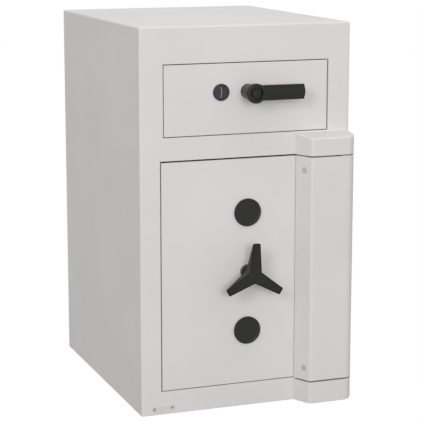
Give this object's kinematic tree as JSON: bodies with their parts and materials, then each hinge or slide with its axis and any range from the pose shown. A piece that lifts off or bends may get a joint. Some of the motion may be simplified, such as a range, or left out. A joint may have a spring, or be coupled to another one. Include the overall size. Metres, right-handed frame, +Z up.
{
  "type": "drop safe",
  "caption": "Free-standing drop safe with a lever-latched deposit drawer above a hinged door that has a spoked handle, covered key locks and rack-driven bolts.",
  "frame": {"origin": "on the floor, under the middle of the cabinet's base", "axes": "+Z up; the front, with the door and the drawer, faces -Y; +X is to the right as seen from the front"},
  "size_m": [0.56, 0.752, 0.975],
  "materials": {
    "cabinet_paint": "light warm grey powder coat with a low sheen",
    "inner_paint": "thin light grey paint on sheet steel",
    "charcoal_castings": "satin charcoal coating on metal castings",
    "lock_metal": "dark satin metal",
    "bright_steel": "machined steel",
    "zinc_plate": "zinc-plated steel",
    "bearing_brass": "plain brass",
    "barrier_filling": "cast barrier concrete"
  },
  "bodies": {
    "cabinet": {"left_side_panel": "cabinet_paint", "right_side_panel": "cabinet_paint", "top_panel": "cabinet_paint", "base_panel": "cabinet_paint", "back_panel": "cabinet_paint", "front_frame": "cabinet_paint", "barrier_fill": "barrier_filling", "inner_liner": "inner_paint", "inner_front_panel": "inner_paint", "door_rebate": "cabinet_paint", "drawer_throat": "cabinet_paint", "latch_keeper": "bright_steel", "upper_hinge_cap": "cabinet_paint", "lower_hinge_cap": "cabinet_paint", "upper_hinge_pin": "bright_steel", "lower_hinge_pin": "bright_steel", "thrust_washer": "bearing_brass", "divider_shelf": "inner_paint", "anti_fish_baffle": "zinc_plate", "storage_shelf": "inner_paint", "left_runner": "zinc_plate", "right_runner": "zinc_plate", "left_fixed_rack": "bright_steel", "right_fixed_rack": "bright_steel"},
    "door": {"door_plate": "cabinet_paint", "hinge_column_cover": "cabinet_paint", "door_fill": "barrier_filling", "door_pan": "inner_paint", "hinge_bar": "bright_steel", "bolt_frame": "zinc_plate", "door_inner_cover": "inner_paint", "lower_lock_case": "zinc_plate", "upper_lock_case": "zinc_plate", "lower_escutcheon": "charcoal_castings", "upper_escutcheon": "charcoal_castings", "handle_collar": "charcoal_castings"},
    "lower_cover": {"lower_keyhole_cover": "charcoal_castings"},
    "upper_cover": {"upper_keyhole_cover": "charcoal_castings"},
    "door_handle": {"three_spoke_handle": "charcoal_castings", "handle_spindle": "bright_steel", "bolt_pinion": "bright_steel"},
    "bolt_work": {"bolt_carriage": "bright_steel", "lower_bolt": "bright_steel", "middle_bolt": "bright_steel", "upper_bolt": "bright_steel"},
    "drawer": {"drawer_front": "cabinet_paint", "drawer_inner_wall": "inner_paint", "left_drawer_side": "zinc_plate", "right_drawer_side": "zinc_plate", "drawer_rear_wall": "zinc_plate", "left_drawer_rail": "bright_steel", "right_drawer_rail": "bright_steel", "lever_rose": "charcoal_castings", "lock_cylinder_body": "charcoal_castings"},
    "drawer_lever": {"lever_handle": "charcoal_castings", "latch_cam": "bright_steel"},
    "drawer_lock": {"lock_plug": "lock_metal"},
    "drawer_floor": {"trap_floor": "zinc_plate"},
    "drive_shaft": {"drive_pinion_shaft": "bright_steel"}
  },
  "joints": [
    {"name": "door_hinge", "type": "hinge", "parent": "cabinet", "child": "door", "pos_m": [0.256, -0.371, 0.35175], "axis": [0, 0, 1], "range_deg": [0, 165]},
    {"name": "handle_turn", "type": "hinge", "parent": "door", "child": "door_handle", "pos_m": [0.002, -0.345, 0.3521], "axis": [0, -1, 0], "range_deg": [0, 90]},
    {"name": "bolt_throw", "type": "slide", "parent": "door", "child": "bolt_work", "axis": [-1, 0, 0], "range_m": [0, 0.0354]},
    {"name": "lower_cover_swing", "type": "hinge", "parent": "door", "child": "lower_cover", "pos_m": [0.002, -0.347, 0.2244], "axis": [0, -1, 0], "range_deg": [0, 110]},
    {"name": "upper_cover_swing", "type": "hinge", "parent": "door", "child": "upper_cover", "pos_m": [0.002, -0.347, 0.5298], "axis": [0, -1, 0], "range_deg": [0, 110]},
    {"name": "drawer_slide", "type": "slide", "parent": "cabinet", "child": "drawer", "axis": [0, -1, 0], "range_m": [0, 0.24]},
    {"name": "lever_turn", "type": "hinge", "parent": "drawer", "child": "drawer_lever", "pos_m": [0.002, -0.345, 0.81], "axis": [0, 1, 0], "range_deg": [0, 90]},
    {"name": "drawer_lock_turn", "type": "hinge", "parent": "drawer", "child": "drawer_lock", "pos_m": [-0.0685, -0.345, 0.81], "axis": [0, 1, 0], "range_deg": [0, 90]},
    {"name": "floor_travel", "type": "slide", "parent": "drawer", "child": "drawer_floor", "axis": [0, -1, 0], "range_m": [0, 0.24]},
    {"name": "drive_spin", "type": "hinge", "parent": "drawer", "child": "drive_shaft", "pos_m": [0, 0.001, 0.6935], "axis": [1, 0, 0], "range_deg": [0, 917]}
  ],
  "couplings": [
    {"joint": "bolt_throw", "follows": "handle_turn", "m_per_rad": 0.0225},
    {"joint": "floor_travel", "follows": "drawer_slide", "ratio": 1},
    {"joint": "drive_spin", "follows": "drawer_slide", "rad_per_m": 66.667}
  ]
}
